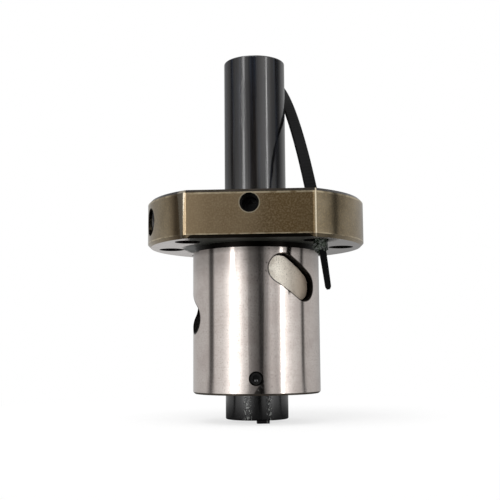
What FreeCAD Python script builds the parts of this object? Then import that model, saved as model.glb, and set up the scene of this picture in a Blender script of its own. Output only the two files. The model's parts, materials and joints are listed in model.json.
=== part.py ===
import FreeCAD, Part
import math
import os
import Sketcher
from FreeCAD import Placement, Rotation, Vector

# Ball screw nut for a 16 mm screw of 5 mm lead, with the mandrel and cable tie it is stored with.
# The axis is Z and the flange's mounting face is the plane z = 0: the flange stands above it and
# the barrel hangs below. The two flats face -Y and +Y. An angle round the nut is counted from the
# front flat (-Y) towards +X, and the right-hand track climbs as that angle grows.

DIMENSIONS = [
    ("lead", 5.0, "rise of the ball track in one turn"),
    ("ball_radius", 1.5875, "ball"),
    ("ball_circle_radius", 8.5, "from the axis to the ball centres in the track"),
    ("land_drop", 0.25, "how far the bore's land lies inside the ball circle"),
    ("track_conformity", 1.07, "radius of a track flank over the ball's radius"),
    ("track_gap", 0.02, "between a ball and the track where it would touch"),
    ("flange_radius", 24.0, "flange"),
    ("flange_thickness", 10.0, "flange"),
    ("flat_distance", 20.0, "from the axis to each flat"),
    ("rim_chamfer", 0.65, "top and bottom edge of the flange"),
    ("corner_chamfer", 0.35, "upright corner between a flat and the round"),
    ("barrel_radius", 14.0, "barrel"),
    ("nose_chamfer", 0.4, "outer edge of the nose"),
    ("relief_radius", 13.45, "grinding relief under the flange"),
    ("relief_height", 1.2, "grinding relief under the flange"),
    ("bolt_circle_radius", 19.0, "bolt holes"),
    ("bolt_hole_radius", 2.75, "bolt holes"),
    ("bolt_angle", 45.0, "between neighbouring bolt holes of one side"),
    ("seat_radius", 10.3, "wiper seat at each end of the bore"),
    ("flange_seat_depth", 3.9, "wiper seat in the flange"),
    ("nose_seat_depth", 4.8, "wiper seat in the nose"),
    ("mouth_chamfer", 0.3, "edge of each wiper seat"),
    ("port_angle", -67.5, "oil port"),
    ("port_radius", 3.0, "oil port thread"),
    ("port_depth", 8.0, "oil port thread"),
    ("port_drill_radius", 1.0, "oil way from the port to the track"),
    ("flange_screw_height", 7.14, "wiper screw of the flange, above the mounting face"),
    ("flange_screw_radius", 2.0, "wiper screw of the flange"),
    ("flange_screw_length", 5.0, "wiper screw of the flange"),
    ("nose_screw_setback", 3.5, "wiper screw of the nose, from the nose's end"),
    ("nose_screw_angle", 2.85, "wiper screw of the nose"),
    ("nose_screw_radius", 1.5, "wiper screw of the nose"),
    ("nose_screw_length", 4.0, "wiper screw of the nose"),
    ("screw_gap", 0.02, "between a wiper screw and its thread"),
    ("screw_bite", 0.7, "how far a wiper screw enters its wiper"),
    ("point_share", 0.6, "radius of a wiper screw's point over its thread radius"),
    ("point_length", 1.0, "point of a wiper screw"),
    ("socket_share", 0.5, "hexagon socket across its flats over the thread's diameter"),
    ("socket_depth", 1.6, "hexagon socket"),
    ("first_slot_angle", 39.3, "centre of the first deflector slot"),
    ("first_slot_drop", 7.45, "centre of the first slot, below the mounting face"),
    ("nose_run", 11.2167, "from the last slot's centre down to the nose's end"),
    ("slot_length", 12.8, "deflector slot, end to end"),
    ("slot_width", 6.35, "deflector slot"),
    ("slot_slant", 33.0, "deflector slot, down to the right"),
    ("deflector_recess", 1.5, "from the barrel's surface in to a deflector's outer face"),
    ("deflector_gap", 0.08, "between a deflector and its slot"),
    ("deflector_bevel", 0.25, "outer edge of a deflector"),
    ("crossover_angle", 40.0, "half of the turn in which the balls cross over"),
    ("crossover_lift", 1.15, "how far a ball rises to pass the screw's land"),
    ("crossover_gap", 0.06, "between a ball and the crossover groove"),
    ("groove_overrun", 24.0, "how far the groove's cutter runs on along the track, as an angle"),
    ("ball_spacing", 0.25, "least gap between neighbouring balls"),
    ("wiper_gap", 0.03, "between a wiper and its seat"),
    ("wiper_setback", 0.2, "how far a wiper sits below the nut's end"),
    ("wiper_bore_gap", 0.08, "between a wiper's lip and the mandrel"),
    ("lip_bevel", 1.1, "each side of a wiper's lip"),
    ("mandrel_gap", 0.0375, "between the mandrel and the balls"),
    ("mandrel_bore_radius", 5.0, "mandrel"),
    ("mandrel_length", 80.0, "mandrel"),
    ("mandrel_overhang", 5.55, "how far the mandrel stands out of the nose"),
    ("mandrel_edge_radius", 0.28, "outer edge of each end of the mandrel"),
    ("nib_width", 2.6, "moulding nib on the mandrel's lower end"),
    ("nib_height", 0.65, "moulding nib"),
    ("nib_inset", 0.35, "moulding nib, in from the wall on both sides"),
    ("nib_angle", 16.0, "moulding nib"),
    ("tie_width", 2.5, "strap of the cable tie"),
    ("tie_thickness", 1.0, "strap of the cable tie"),
    ("tie_bevel", 0.2, "long edges of the strap"),
    ("tie_bend_radius", 60.0, "curve that the strap has taken"),
    ("tie_heading", 98.0, "upright plane of that curve, from +X towards +Y"),
    ("tie_lean", 7.0, "lean of that plane to the left"),
    ("tie_offset_x", 0.15, "strap's centre from the bolt hole's axis, at half the flange"),
    ("tie_offset_y", -0.1, "strap's centre from the bolt hole's axis, at half the flange"),
    ("tie_slope", 16.0, "slope of the strap where it passes the hole"),
    ("tie_tail", 15.8, "from half the flange down to the strap's tip"),
    ("tie_strap", 57.0, "from half the flange up to the head"),
    ("tail_length", 8.0, "narrow end of the strap"),
    ("tail_width", 1.35, "narrow end of the strap"),
    ("tail_tip_width", 1.1, "tip of the strap"),
    ("tail_taper", 6.0, "widening from the narrow end to the full strap"),
    ("head_length", 4.8, "head of the cable tie"),
    ("head_width", 4.4, "head of the cable tie"),
    ("head_thickness", 3.2, "head of the cable tie"),
    ("head_chamfer", 0.4, "edges of the head"),
    ("window_width", 2.9, "opening through the head"),
    ("window_length", 1.4, "opening through the head"),
    ("cut_overrun", 0.4, "how far a cut starts outside the metal"),
]

CIRCUITS = 3
# points worked out along a ball loop, and along the groove of a crossover
PATH_STEPS = 720
CROSSOVER_STEPS = 24
# two and a half turns, added to an angle so that the sheet's mod works on a positive number
WRAP_SHIFT = 900
# lengths that agree to this many millimetres are taken as equal
SAME_LENGTH = 1e-4
# a cut that takes away less than this many cubic millimetres has missed
LEAST_CUT = 1e-6
HEXAGON_SIDES = 6

document = FreeCAD.newDocument("ball_screw_nut")
sheet = document.addObject("Spreadsheet::Sheet", "dims")
for row, (alias, value, meaning) in enumerate(DIMENSIONS, start=1):
    sheet.set("A%d" % row, meaning)
    sheet.set("B%d" % row, str(value))
    sheet.setAlias("B%d" % row, alias)
document.recompute()

# Expressions that more than one piece uses. Each is worked out from the sheet.
SLOT_RISE = "(dims.lead * (1 + 1 / %d))" % CIRCUITS
BARREL_LENGTH = "(dims.first_slot_drop + %d * %s + dims.nose_run)" % (CIRCUITS - 1, SLOT_RISE)
LAND_RADIUS = "(dims.ball_circle_radius - dims.land_drop)"
# slots and deflector blanks run in this near to the axis, so through the wall at a slot's ends too
SLOT_FLOOR = "%s / 2" % LAND_RADIUS
DEFLECTOR_RADIUS = "(dims.barrel_radius - dims.deflector_recess)"
# the plane of the barrel's profile, turned so that the seam of the turned face runs clear of the slots
SEAM_TURN = "-11"
PORT_HEIGHT = "dims.flange_thickness / 2"
NOSE_SCREW_HEIGHT = "-%s + dims.nose_screw_setback" % BARREL_LENGTH
WIPER_RADIUS = "dims.seat_radius - dims.wiper_gap"
SCREW_REACH = "dims.seat_radius - dims.screw_bite"
MANDREL_RADIUS = "dims.ball_circle_radius - dims.ball_radius - dims.mandrel_gap"
MANDREL_FOOT = "-%s - dims.mandrel_overhang" % BARREL_LENGTH
BOLT_X = "dims.bolt_circle_radius * sin(dims.bolt_angle)"
BOLT_Y = "dims.bolt_circle_radius * cos(dims.bolt_angle)"


def size(expression):
    """The number that an expression on the sheet gives."""
    return float(sheet.evalExpression(expression))


def slot_angle(circuit):
    """Each slot lies a third of a turn back from the one above it."""
    return "dims.first_slot_angle - %d * 360 / %d" % (circuit, CIRCUITS)


def slot_height(circuit):
    """Each slot lies a lead and a third below the one above it."""
    return "-dims.first_slot_drop - %d * %s" % (circuit, SLOT_RISE)


def bind_turn(feature, place, axis, angle):
    """Turn a feature's place about an axis by an expression.

    A rotation's own angle is never negative and stays below half a turn, so an angle the
    other way is bound as a turn about the opposite axis.
    """
    wrapped = "mod(%s + %d; 360)" % (angle, WRAP_SHIFT)
    within = wrapped + " - 180"
    if size(within) < 0:
        axis, within = axis * -1, "180 - " + wrapped
    setattr(feature, place, Placement(getattr(feature, place).Base, Rotation(axis, size(within))))
    feature.setExpression(place + ".Rotation.Angle", within)


def new_body(label):
    body = document.addObject("PartDesign::Body", label)
    body.Label = label
    return body


def new_sketch(body, name, role, turn=None, outward=None, up=None, turn_axis=Vector(0, 1, 0)):
    """A sketch on one of the body's origin planes, turned and shifted by expressions.

    On the XZ plane a sketch's own Y axis is the nut's Z axis, and its own Z axis points
    out of the front. So turn is the angle round the nut, outward the distance from the
    axis and up the height.
    """
    sketch = body.newObject("Sketcher::SketchObject", name)
    plane = [item for item in body.Origin.OriginFeatures if item.Role == role][0]
    sketch.AttachmentSupport = [(plane, "")]
    sketch.MapMode = "FlatFace"
    if turn is not None:
        bind_turn(sketch, "AttachmentOffset", turn_axis, turn)
        if outward is not None:
            sketch.setExpression("AttachmentOffset.Base.x", "(%s) * sin(%s)" % (outward, turn))
            sketch.setExpression("AttachmentOffset.Base.z", "(%s) * cos(%s)" % (outward, turn))
    elif outward is not None:
        sketch.setExpression("AttachmentOffset.Base.z", outward)
    if up is not None:
        sketch.setExpression("AttachmentOffset.Base.y", up)
    return sketch


def pin_point(sketch, geometry, point, across, height):
    """Hold one point of the sketch at two expressions."""
    for kind, expression, axis in (("DistanceX", across, -2), ("DistanceY", height, -1)):
        if expression == "0":
            sketch.addConstraint(Sketcher.Constraint("PointOnObject", geometry, point, axis))
        else:
            held = Sketcher.Constraint(kind, -1, 1, geometry, point, size(expression))
            index = sketch.addConstraint(held)
            sketch.setExpression("Constraints[%d]" % index, expression)


def draw_outline(sketch, corners):
    """A closed outline of straight lines whose corners are pairs of expressions."""
    places = [Vector(size(across), size(height), 0) for across, height in corners]
    count = len(corners)
    for index in range(count):
        sketch.addGeometry(Part.LineSegment(places[index], places[(index + 1) % count]))
    for index in range(count):
        sketch.addConstraint(Sketcher.Constraint("Coincident", index, 2, (index + 1) % count, 1))
    for index, (across, height) in enumerate(corners):
        pin_point(sketch, index, 1, across, height)


def draw_circle(sketch, across, height, radius):
    centre = Vector(size(across), size(height), 0)
    index = sketch.addGeometry(Part.Circle(centre, Vector(0, 0, 1), size(radius)))
    held = sketch.addConstraint(Sketcher.Constraint("Radius", index, size(radius)))
    sketch.setExpression("Constraints[%d]" % held, radius)
    pin_point(sketch, index, 3, across, height)


def draw_stadium(sketch, length, width, slant):
    """A slot outline about the sketch's origin, falling to the right by the slant."""
    radius = size(width) / 2
    reach = size(length) / 2 - radius
    angle = -math.radians(size(slant))
    along = Vector(math.cos(angle), math.sin(angle), 0)
    side = Vector(-along.y, along.x, 0)
    left, right = along * -reach, along * reach
    upper, lower, cap_left, cap_right, spine = range(5)
    sketch.addGeometry(Part.LineSegment(left + side * radius, right + side * radius))
    sketch.addGeometry(Part.LineSegment(right - side * radius, left - side * radius))
    quarter = math.pi / 2
    for centre, start in ((left, angle + quarter), (right, angle - quarter)):
        circle = Part.Circle(centre, Vector(0, 0, 1), radius)
        sketch.addGeometry(Part.ArcOfCircle(circle, start, start + math.pi))
    sketch.addGeometry(Part.LineSegment(left, right), True)
    for join in (
        (upper, 1, cap_left, 1),
        (cap_left, 2, lower, 2),
        (lower, 1, cap_right, 1),
        (cap_right, 2, upper, 2),
    ):
        sketch.addConstraint(Sketcher.Constraint("Tangent", *join))
    sketch.addConstraint(Sketcher.Constraint("Coincident", spine, 1, cap_left, 3))
    sketch.addConstraint(Sketcher.Constraint("Coincident", spine, 2, cap_right, 3))
    sketch.addConstraint(Sketcher.Constraint("Symmetric", spine, 1, spine, 2, -1, 1))
    for constraint, expression in (
        (Sketcher.Constraint("Radius", cap_left, radius), "(%s) / 2" % width),
        (Sketcher.Constraint("Distance", spine, 2 * reach), "(%s) - (%s)" % (length, width)),
        (Sketcher.Constraint("Angle", spine, angle), "-(%s) * 1deg" % slant),
    ):
        index = sketch.addConstraint(constraint)
        sketch.setExpression("Constraints[%d]" % index, expression)


def turned(body, kind, name, sketch, angle=None):
    """A Revolution or Groove about the sketch's upright axis."""
    feature = body.newObject("PartDesign::" + kind, name)
    feature.Profile = sketch
    feature.ReferenceAxis = (sketch, ["V_Axis"])
    feature.Angle = 360
    if angle is not None:
        feature.Angle = size(angle)
        feature.setExpression("Angle", angle)
    return feature


def extruded(body, kind, name, sketch, length=None):
    """A Pad or Pocket. A pocket with no length goes right through, both ways."""
    feature = body.newObject("PartDesign::" + kind, name)
    feature.Profile = sketch
    if length is None:
        feature.Type = "ThroughAll"
        feature.Midplane = True
    else:
        feature.Length = size(length)
        feature.setExpression("Length", length)
    return feature


def edge_treatment(body, kind, name, base, expression, chosen):
    """A Chamfer or Fillet on the edges of the base feature that the test picks."""
    document.recompute()
    names = []
    for number, edge in enumerate(base.Shape.Edges, start=1):
        if chosen(edge):
            names.append("Edge%d" % number)
    feature = body.newObject("PartDesign::" + kind, name)
    feature.Base = (base, names)
    amount = "Size" if kind == "Chamfer" else "Radius"
    setattr(feature, amount, size(expression))
    feature.setExpression(amount, expression)
    return feature


def near(value, target):
    return abs(value - target) < SAME_LENGTH


def on_round(edge, radius):
    """Whether both ends of an edge lie at this distance from the nut's axis."""
    ends = (edge.valueAt(edge.FirstParameter), edge.valueAt(edge.LastParameter))
    return all(near(math.hypot(end.x, end.y), radius) for end in ends)


# Nut body. It is turned from one bar, ground all over, and the track is ground into its bore.

def flange_blank(body):
    """The flange's disc between its two flats, with its edges broken."""
    radius, flat = size("dims.flange_radius"), size("dims.flat_distance")
    half = math.acos(flat / radius)
    sketch = new_sketch(body, "flange_outline", "XY_Plane")
    centre = Part.Circle(Vector(), Vector(0, 0, 1), radius)
    side_angle = math.pi / 2 - half
    chord = radius * math.sin(half)
    sketch.addGeometry(Part.ArcOfCircle(centre, -side_angle, side_angle))
    sketch.addGeometry(Part.LineSegment(Vector(chord, flat, 0), Vector(-chord, flat, 0)))
    sketch.addGeometry(Part.ArcOfCircle(centre, math.pi - side_angle, math.pi + side_angle))
    sketch.addGeometry(Part.LineSegment(Vector(-chord, -flat, 0), Vector(chord, -flat, 0)))
    for first in range(4):
        sketch.addConstraint(Sketcher.Constraint("Coincident", first, 2, (first + 1) % 4, 1))
    for arc in (0, 2):
        sketch.addConstraint(Sketcher.Constraint("Coincident", arc, 3, -1, 1))
    held = sketch.addConstraint(Sketcher.Constraint("Radius", 0, radius))
    sketch.setExpression("Constraints[%d]" % held, "dims.flange_radius")
    for line, side in ((1, "dims.flat_distance"), (3, "-dims.flat_distance")):
        sketch.addConstraint(Sketcher.Constraint("Horizontal", line))
        held = sketch.addConstraint(Sketcher.Constraint("DistanceY", -1, 1, line, 1, size(side)))
        sketch.setExpression("Constraints[%d]" % held, side)
    disc = extruded(body, "Pad", "flange_disc", sketch, "dims.flange_thickness")
    corners = edge_treatment(
        body, "Chamfer", "flange_corners", disc, "dims.corner_chamfer",
        lambda edge: near(edge.BoundBox.ZLength, size("dims.flange_thickness")),
    )
    return edge_treatment(
        body, "Chamfer", "flange_rims", corners, "dims.rim_chamfer",
        lambda edge: near(edge.BoundBox.ZLength, 0),
    )


def barrel(body):
    """The barrel below the flange, with the grinding relief and the nose's chamfer."""
    sketch = new_sketch(body, "barrel_profile", "XZ_Plane", turn=SEAM_TURN)
    nose = "-" + BARREL_LENGTH
    draw_outline(sketch, [
        ("0", nose),
        ("dims.barrel_radius - dims.nose_chamfer", nose),
        ("dims.barrel_radius", nose + " + dims.nose_chamfer"),
        ("dims.barrel_radius", "-dims.relief_height"),
        ("dims.relief_radius", "-dims.relief_height"),
        ("dims.relief_radius", "dims.flange_thickness / 2"),
        ("0", "dims.flange_thickness / 2"),
    ])
    return turned(body, "Revolution", "barrel", sketch)


def bore(body):
    """The land bore, opened out at each end for a wiper, all one turned profile."""
    sketch = new_sketch(body, "bore_profile", "XZ_Plane")
    nose = "-" + BARREL_LENGTH
    draw_outline(sketch, [
        ("0", nose),
        ("dims.seat_radius + dims.mouth_chamfer", nose),
        ("dims.seat_radius", nose + " + dims.mouth_chamfer"),
        ("dims.seat_radius", nose + " + dims.nose_seat_depth"),
        (LAND_RADIUS, nose + " + dims.nose_seat_depth"),
        (LAND_RADIUS, "dims.flange_thickness - dims.flange_seat_depth"),
        ("dims.seat_radius", "dims.flange_thickness - dims.flange_seat_depth"),
        ("dims.seat_radius", "dims.flange_thickness - dims.mouth_chamfer"),
        ("dims.seat_radius + dims.mouth_chamfer", "dims.flange_thickness"),
        ("0", "dims.flange_thickness"),
    ])
    return turned(body, "Groove", "bore", sketch)


def ball_track(body):
    """The gothic arch track: two flanks that meet in a ridge, wound along the bore.

    Each flank is a little rounder than the ball and is set over by the same amount
    inwards and sideways, so that a ball would touch it at 45 degrees.
    """
    flank = size("dims.ball_radius * dims.track_conformity")
    shift_text = "(dims.ball_radius * (dims.track_conformity - 1) - dims.track_gap) * sin(45)"
    shift = size(shift_text)
    centre_text = "dims.ball_circle_radius - %s" % shift_text
    centre = size(centre_text)
    open_text = "%s - dims.cut_overrun" % LAND_RADIUS
    open_side = size(open_text)
    ridge = centre + math.sqrt(flank**2 - shift**2)
    mouth = math.sqrt(flank**2 - (centre - open_side)**2) - shift

    below = "(%s - dims.nose_seat_depth + 2 * dims.ball_radius)" % BARREL_LENGTH
    quarter = "(90 - dims.first_slot_angle) / 360"
    at_x_axis = "(-dims.first_slot_drop - dims.lead / 2 + dims.lead * %s)" % quarter
    start = "%s - dims.lead * ceil((%s + %s) / dims.lead)" % (at_x_axis, at_x_axis, below)
    sketch = new_sketch(body, "track_profile", "XZ_Plane", up=start)
    upper_centre, lower_centre = Vector(centre, -shift, 0), Vector(centre, shift, 0)
    upper = Part.Circle(upper_centre, Vector(0, 0, 1), flank)
    lower = Part.Circle(lower_centre, Vector(0, 0, 1), flank)
    ridge_angle = math.atan2(shift, ridge - centre)
    mouth_angle = math.atan2(mouth + shift, open_side - centre)
    sketch.addGeometry(Part.ArcOfCircle(upper, ridge_angle, mouth_angle))
    sketch.addGeometry(Part.ArcOfCircle(lower, -mouth_angle, -ridge_angle))
    sketch.addGeometry(Part.LineSegment(Vector(open_side, mouth, 0), Vector(open_side, -mouth, 0)))
    for join in ((0, 1, 1, 2), (0, 2, 2, 1), (2, 2, 1, 1)):
        sketch.addConstraint(Sketcher.Constraint("Coincident", *join))
    pin_point(sketch, 0, 3, centre_text, "-%s" % shift_text)
    pin_point(sketch, 1, 3, centre_text, shift_text)
    held = sketch.addConstraint(Sketcher.Constraint("Radius", 0, flank))
    sketch.setExpression("Constraints[%d]" % held, "dims.ball_radius * dims.track_conformity")
    sketch.addConstraint(Sketcher.Constraint("Vertical", 2))
    held = sketch.addConstraint(Sketcher.Constraint("DistanceX", -1, 1, 2, 1, open_side))
    sketch.setExpression("Constraints[%d]" % held, open_text)

    track = body.newObject("PartDesign::SubtractiveHelix", "ball_track")
    track.Profile = sketch
    track.ReferenceAxis = (sketch, ["V_Axis"])
    track.Mode = "pitch-turns-angle"
    track.Pitch = size("dims.lead")
    track.setExpression("Pitch", "dims.lead")
    above = "(dims.flange_thickness - dims.flange_seat_depth + 2 * dims.ball_radius)"
    turns = "ceil((%s - (%s)) / dims.lead)" % (above, start)
    track.Turns = size(turns)
    track.setExpression("Turns", turns)
    # the land is left as the strips between the turns: merged into one face it can't be cut lengthwise
    track.Refine = False
    return track


def bolt_holes(body):
    """Six through holes on one circle, three on each round side, none at the flats."""
    sketch = new_sketch(body, "bolt_circles", "XY_Plane")
    places = [("dims.bolt_circle_radius", "0"), ("-dims.bolt_circle_radius", "0")]
    for side in ("", "-"):
        for end in ("", "-"):
            places.append((side + BOLT_X, end + BOLT_Y))
    for across, height in places:
        draw_circle(sketch, across, height, "dims.bolt_hole_radius")
    return extruded(body, "Pocket", "bolt_holes", sketch)


def radial_hole(body, name, angle, height, radius, from_radius, to_radius):
    """A round hole drilled towards the axis, between two distances from it."""
    sketch = new_sketch(body, name + "_circle", "XZ_Plane", turn=angle, outward=from_radius, up=height)
    draw_circle(sketch, "0", "0", radius)
    return extruded(body, "Pocket", name, sketch, "(%s) - (%s)" % (from_radius, to_radius))


def deflector_slot(body, circuit):
    """The slanted window that a deflector is pressed into, milled right through the wall."""
    name = "slot_%d" % (circuit + 1)
    outside = "dims.barrel_radius + dims.cut_overrun"
    sketch = new_sketch(
        body, name + "_outline", "XZ_Plane",
        turn=slot_angle(circuit), outward=outside, up=slot_height(circuit),
    )
    draw_stadium(sketch, "dims.slot_length", "dims.slot_width", "dims.slot_slant")
    return extruded(body, "Pocket", name, sketch, "%s - %s" % (outside, SLOT_FLOOR))


def make_nut_body():
    body = new_body("nut_body")
    flange_blank(body)
    barrel(body)
    bore(body)
    bolt_holes(body)
    for circuit in range(CIRCUITS):
        deflector_slot(body, circuit)
    outside = "dims.flange_radius + dims.cut_overrun"
    port_end = "dims.flange_radius - dims.port_depth"
    radial_hole(body, "oil_port", "dims.port_angle", PORT_HEIGHT, "dims.port_radius", outside, port_end)
    radial_hole(
        body, "oil_way", "dims.port_angle", PORT_HEIGHT, "dims.port_drill_radius",
        port_end + " + dims.port_drill_radius", "%s - dims.port_drill_radius" % LAND_RADIUS,
    )
    radial_hole(
        body, "flange_screw_hole", "0", "dims.flange_screw_height", "dims.flange_screw_radius",
        "dims.flat_distance + dims.cut_overrun", SCREW_REACH,
    )
    radial_hole(
        body, "nose_screw_hole", "dims.nose_screw_angle", NOSE_SCREW_HEIGHT, "dims.nose_screw_radius",
        "dims.barrel_radius + dims.cut_overrun", SCREW_REACH,
    )
    body.Tip = ball_track(body)
    return body


# Deflectors. Each is modelled at the front of the nut, at height zero, and then turned and lowered
# to its slot. The path of the balls is worked out in that same place.

def path_point(turn):
    """Ball centre at an angle from the deflector, in degrees.

    The angle runs from minus the crossover's half turn to one whole turn beyond that.
    Outside the crossover the path is the track. Inside, it rises off the track by a
    cosine bump and slides back one lead along a sine.
    """
    half = size("dims.crossover_angle")
    lead = size("dims.lead")
    radius = size("dims.ball_circle_radius")
    if turn > half:
        height = lead * turn / 360 - lead / 2
    elif turn < -half:
        height = lead * turn / 360 + lead / 2
    else:
        share = turn / half
        height = lead * turn / 360 - lead / 2 * math.sin(share * math.pi / 2)
        radius += size("dims.crossover_lift") * (1 + math.cos(share * math.pi)) / 2
    angle = math.radians(turn)
    return Vector(radius * math.sin(angle), -radius * math.cos(angle), height)


def crossover_tool():
    """A round bar along the crossover and a little of the track at each end of it."""
    reach = size("dims.crossover_angle + dims.groove_overrun")
    turns = [reach * (2 * step / CROSSOVER_STEPS - 1) for step in range(CROSSOVER_STEPS + 1)]
    curve = Part.BSplineCurve()
    curve.interpolate([path_point(turn) for turn in turns])
    start = curve.value(curve.FirstParameter)
    heading = curve.tangent(curve.FirstParameter)[0]
    section = Part.Circle(start, heading, size("dims.ball_radius + dims.crossover_gap"))
    return Part.Wire([curve.toShape()]).makePipeShell([Part.Wire([section.toShape()])], True, False)


def set_on_circuit(feature, circuit):
    """Turn and lower something that was modelled at the front to its own slot."""
    bind_turn(feature, "Placement", Vector(0, 0, 1), slot_angle(circuit))
    feature.setExpression("Placement.Base.z", slot_height(circuit))


def make_deflector(circuit):
    """A stadium plug between the bore and its recessed outer face, with the crossover groove."""
    name = "deflector_%d" % (circuit + 1)
    plug = new_body(name + "_plug")
    outline = new_sketch(plug, name + "_outline", "XZ_Plane", outward=SLOT_FLOOR)
    draw_stadium(
        outline, "dims.slot_length - 2 * dims.deflector_gap",
        "dims.slot_width - 2 * dims.deflector_gap", "dims.slot_slant",
    )
    extruded(plug, "Pad", name + "_blank", outline, "dims.barrel_radius - %s" % SLOT_FLOOR)
    outer = new_sketch(plug, name + "_outer_profile", "XZ_Plane")
    draw_outline(outer, [
        (DEFLECTOR_RADIUS, "-dims.slot_length"),
        ("2 * dims.barrel_radius", "-dims.slot_length"),
        ("2 * dims.barrel_radius", "dims.slot_length"),
        (DEFLECTOR_RADIUS, "dims.slot_length"),
    ])
    face = turned(plug, "Groove", name + "_outer_face", outer)
    bevel = edge_treatment(
        plug, "Chamfer", name + "_bevel", face, "dims.deflector_bevel",
        lambda edge: on_round(edge, size(DEFLECTOR_RADIUS)),
    )
    plug.Tip = bevel
    core = new_sketch(plug, name + "_inner_profile", "XZ_Plane")
    draw_outline(core, [
        ("0", "-dims.slot_length"),
        (LAND_RADIUS, "-dims.slot_length"),
        (LAND_RADIUS, "dims.slot_length"),
        ("0", "dims.slot_length"),
    ])
    plug.Tip = turned(plug, "Groove", name + "_inner_face", core)
    groove = document.addObject("Part::Feature", name + "_crossover")
    groove.Shape = crossover_tool()
    for feature in (plug, groove):
        set_on_circuit(feature, circuit)
    deflector = document.addObject("Part::Cut", name)
    deflector.Label = name
    deflector.Base = plug
    deflector.Tool = groove
    return deflector


# Balls. A loop holds as many as leave the least gap between neighbours, spaced evenly along its path.

def ball_places():
    """Ball centres of one loop, at even distances along the path, for a deflector at the front."""
    half = size("dims.crossover_angle")
    turns = [-half + 360 * step / PATH_STEPS for step in range(PATH_STEPS + 1)]
    points = [path_point(turn) for turn in turns]
    travelled = [0.0]
    for before, after in zip(points, points[1:]):
        travelled.append(travelled[-1] + before.distanceToPoint(after))
    pitch = size("2 * dims.ball_radius + dims.ball_spacing")
    count = int(travelled[-1] / pitch)
    places = []
    for number in range(count):
        goal = travelled[-1] * number / count
        step = max(index for index in range(PATH_STEPS) if travelled[index] <= goal)
        share = (goal - travelled[step]) / (travelled[step + 1] - travelled[step])
        places.append(points[step] + (points[step + 1] - points[step]) * share)
    return places


def make_balls(circuit):
    turn = Placement(
        Vector(0, 0, size(slot_height(circuit))), Rotation(Vector(0, 0, 1), size(slot_angle(circuit)))
    )
    balls = []
    for number, place in enumerate(ball_places(), start=1):
        ball = document.addObject("Part::Sphere", "ball_%d_%02d" % (circuit + 1, number))
        ball.Label = ball.Name
        ball.Radius = size("dims.ball_radius")
        ball.setExpression("Radius", "dims.ball_radius")
        ball.Placement = Placement(turn.multVec(place), Rotation())
        balls.append(ball)
    return balls


# Wipers. A plastic ring with a bevelled lip, held by the point of a set screw in a hole in its rim.

def make_wiper(label, low, depth, screw_angle, screw_height, screw_radius):
    """low is the end nearest the nose; depth is the seat's, less the setback."""
    body = new_body(label)
    thickness = "(%s - dims.wiper_setback)" % depth
    lip = "(%s + dims.wiper_bore_gap)" % MANDREL_RADIUS
    sketch = new_sketch(body, label + "_profile", "XZ_Plane")
    draw_outline(sketch, [
        (WIPER_RADIUS, low),
        (WIPER_RADIUS, "%s + %s" % (low, thickness)),
        ("%s + dims.lip_bevel" % lip, "%s + %s" % (low, thickness)),
        (lip, "%s + %s - dims.lip_bevel" % (low, thickness)),
        (lip, "%s + dims.lip_bevel" % low),
        ("%s + dims.lip_bevel" % lip, low),
    ])
    turned(body, "Revolution", label + "_ring", sketch)
    point = "%s * dims.point_share + dims.wiper_gap" % screw_radius
    body.Tip = radial_hole(
        body, label + "_dimple", screw_angle, screw_height, point,
        "dims.seat_radius + dims.cut_overrun", "%s - dims.screw_gap" % SCREW_REACH,
    )
    return body


# Wiper screws. Each lies along its hole with a plain point inwards and a hexagon socket outwards.

def make_wiper_screw(label, angle, height, radius, length):
    body = new_body(label)
    thread = "(%s - dims.screw_gap)" % radius
    point = "(%s * dims.point_share)" % radius
    sketch = new_sketch(body, label + "_profile", "XZ_Plane")
    draw_outline(sketch, [
        ("0", "0"),
        (point, "0"),
        (point, "dims.point_length - dims.screw_gap"),
        (thread, "dims.point_length + %s - %s" % (thread, point)),
        (thread, "%s - dims.mouth_chamfer" % length),
        ("%s - dims.mouth_chamfer" % thread, length),
        ("0", length),
    ])
    turned(body, "Revolution", label + "_shank", sketch)
    socket = new_sketch(body, label + "_hexagon", "XY_Plane")
    socket.setExpression("AttachmentOffset.Base.z", length)
    corner_radius = "(%s * dims.socket_share / cos(180 / %d))" % (radius, HEXAGON_SIDES)
    corners = []
    for corner in range(HEXAGON_SIDES):
        at = 180 * (2 * corner + 1) / HEXAGON_SIDES
        corners.append(("%s * cos(%g)" % (corner_radius, at), "%s * sin(%g)" % (corner_radius, at)))
    draw_outline(socket, corners)
    body.Tip = extruded(body, "Pocket", label + "_socket", socket, "dims.socket_depth")
    body.Placement = Placement(Vector(), Rotation(size(angle), 0, 90))
    body.setExpression("Placement.Base.x", "(%s) * sin(%s)" % (SCREW_REACH, angle))
    body.setExpression("Placement.Base.y", "-(%s) * cos(%s)" % (SCREW_REACH, angle))
    body.setExpression("Placement.Base.z", height)
    return body


# Mandrel. An extruded plastic tube, a running fit in the balls, with a nib left on its lower end.

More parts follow.
